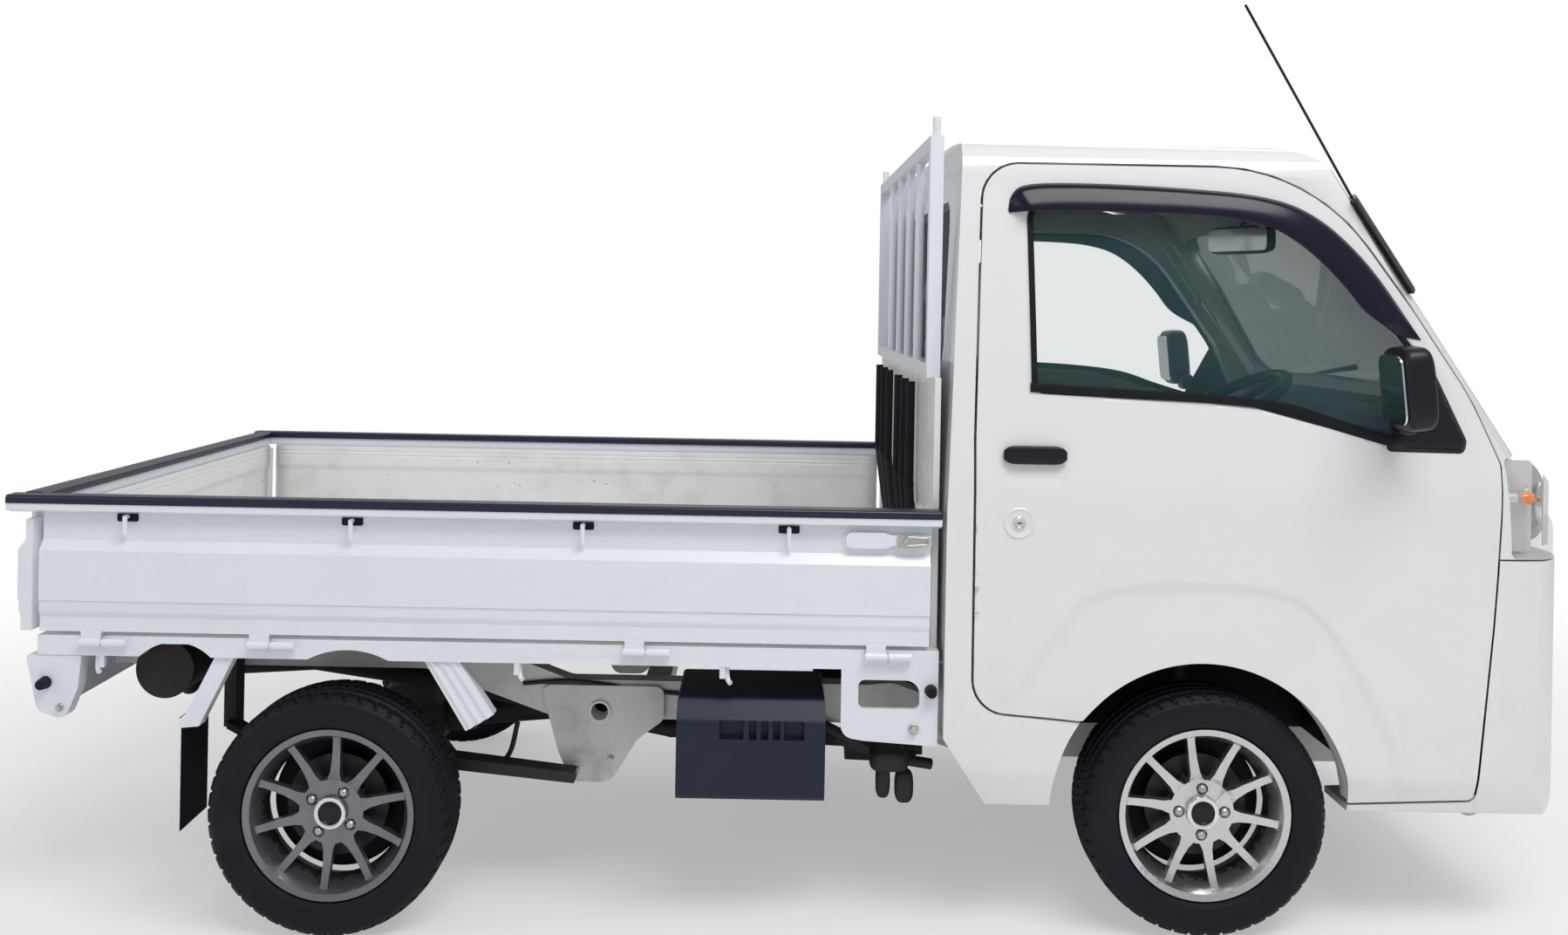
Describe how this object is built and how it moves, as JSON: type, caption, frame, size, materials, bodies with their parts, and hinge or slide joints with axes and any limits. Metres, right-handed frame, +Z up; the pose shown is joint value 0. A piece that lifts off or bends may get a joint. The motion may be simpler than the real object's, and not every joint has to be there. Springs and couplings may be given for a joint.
{
  "type": "small cab-over flatbed truck",
  "caption": "Small cab-over truck with a drop-side flatbed, guard frame behind the cab, hinged doors and gates, steered front wheels.",
  "frame": {"origin": "on the ground, under the middle of the truck's length and width, tyres standing on z = 0", "axes": "+X to the front of the truck, +Y to its left, +Z up"},
  "size_m": [3.3922, 1.77, 2.0346],
  "materials": {
    "body_white": "gloss white paint",
    "frame_white": "white paint, dusty",
    "cover_navy": "dark navy moulded cover",
    "black_plastic": "black plastic",
    "chassis_black": "black underbody paint",
    "grey_cast": "plain cast block",
    "alloy_bright": "machined alloy",
    "alloy_dark": "dark alloy",
    "tyre_rubber": "tyre rubber",
    "soft_rubber": "black rubber",
    "glass_clear": "tinted glass",
    "lamp_red": "red lamp lens",
    "seat_cloth": "dark grey seat cloth"
  },
  "bodies": {
    "chassis": {"rail_right": "frame_white", "rail_left": "frame_white", "crossmembers": "frame_white", "cab_floor": "body_white", "cab_back": "body_white", "cab_roof": "body_white", "cab_sides": "body_white", "front_panel": "body_white", "front_bumper": "body_white", "bumper_grille": "black_plastic", "windscreen": "glass_clear", "rear_window": "glass_clear", "headlamps": "glass_clear", "wipers": "black_plastic", "dashboard": "cover_navy", "seats": "seat_cloth", "powertrain": "grey_cast", "prop_shaft": "chassis_black", "fuel_tank": "black_plastic", "battery_box": "cover_navy", "exhaust": "chassis_black", "bed_floor": "body_white", "bulkhead": "body_white", "guard_frame": "body_white", "rear_panel": "frame_white", "tail_lamps": "lamp_red", "gate_stops": "soft_rubber", "mudguards": "frame_white", "front_suspension": "chassis_black", "rear_axle": "chassis_black", "leaf_springs": "chassis_black", "antenna": "black_plastic", "rubber_straps": "soft_rubber", "steering_column": "black_plastic"},
    "steering_wheel": {"steering_wheel": "black_plastic"},
    "knuckle_right": {"knuckle_right": "chassis_black"},
    "knuckle_left": {"knuckle_left": "chassis_black"},
    "wheel_front_right": {"rim_front_right": "alloy_bright", "tyre_front_right": "tyre_rubber"},
    "wheel_front_left": {"rim_front_left": "alloy_bright", "tyre_front_left": "tyre_rubber"},
    "wheel_rear_right": {"rim_rear_right": "alloy_dark", "tyre_rear_right": "tyre_rubber"},
    "wheel_rear_left": {"rim_rear_left": "alloy_dark", "tyre_rear_left": "tyre_rubber"},
    "door_right": {"door_right": "body_white", "door_glass_right": "glass_clear", "door_fittings_right": "black_plastic"},
    "door_left": {"door_left": "body_white", "door_glass_left": "glass_clear", "door_fittings_left": "black_plastic"},
    "gate_right": {"gate_right": "body_white", "gate_cover_right": "cover_navy"},
    "gate_left": {"gate_left": "body_white", "gate_cover_left": "cover_navy"},
    "gate_tail": {"gate_tail": "body_white", "gate_cover_tail": "cover_navy"}
  },
  "joints": [
    {"name": "steering_turn", "type": "hinge", "parent": "chassis", "child": "steering_wheel", "pos_m": [1.05063, -0.33, 1.11593], "axis": [-0.484, 0, 0.875], "range_deg": [-576, 576]},
    {"name": "steer_right", "type": "hinge", "parent": "chassis", "child": "knuckle_right", "pos_m": [0.88791, -0.59, 0.15102], "axis": [0.018, 0.1996, 0.9797], "range_deg": [-36, 36]},
    {"name": "wheel_front_right_spin", "type": "hinge", "parent": "knuckle_right", "child": "wheel_front_right", "pos_m": [0.89, -0.652, 0.265], "axis": [0, 1, 0], "continuous": true},
    {"name": "wheel_rear_right_spin", "type": "hinge", "parent": "chassis", "child": "wheel_rear_right", "pos_m": [-1.01, -0.652, 0.265], "axis": [0, 1, 0], "continuous": true},
    {"name": "door_right_swing", "type": "hinge", "parent": "chassis", "child": "door_right", "pos_m": [1.543, -0.716, 0.53181], "axis": [0.0183, 0, 0.9998], "range_deg": [0, 65]},
    {"name": "gate_right_drop", "type": "hinge", "parent": "chassis", "child": "gate_right", "pos_m": [-0.58863, -0.727, 0.62589], "axis": [0.9998, 0, -0.0183], "range_deg": [0, 170]},
    {"name": "steer_left", "type": "hinge", "parent": "chassis", "child": "knuckle_left", "pos_m": [0.88791, 0.59, 0.15102], "axis": [0.018, -0.1996, 0.9797], "range_deg": [-36, 36]},
    {"name": "wheel_front_left_spin", "type": "hinge", "parent": "knuckle_left", "child": "wheel_front_left", "pos_m": [0.89, 0.652, 0.265], "axis": [0, 1, 0], "continuous": true},
    {"name": "wheel_rear_left_spin", "type": "hinge", "parent": "chassis", "child": "wheel_rear_left", "pos_m": [-1.01, 0.652, 0.265], "axis": [0, 1, 0], "continuous": true},
    {"name": "door_left_swing", "type": "hinge", "parent": "chassis", "child": "door_left", "pos_m": [1.543, 0.716, 0.53181], "axis": [-0.0183, 0, -0.9998], "range_deg": [0, 65]},
    {"name": "gate_left_drop", "type": "hinge", "parent": "chassis", "child": "gate_left", "pos_m": [-0.58863, 0.727, 0.62589], "axis": [-0.9998, 0, 0.0183], "range_deg": [0, 170]},
    {"name": "gate_tail_drop", "type": "hinge", "parent": "chassis", "child": "gate_tail", "pos_m": [-1.67845, 0, 0.64587], "axis": [0, -1, 0], "range_deg": [0, 170]}
  ],
  "couplings": [
    {"joint": "steer_right", "follows": "steering_turn", "ratio": 0.0625},
    {"joint": "steer_left", "follows": "steering_turn", "ratio": 0.0625}
  ]
}
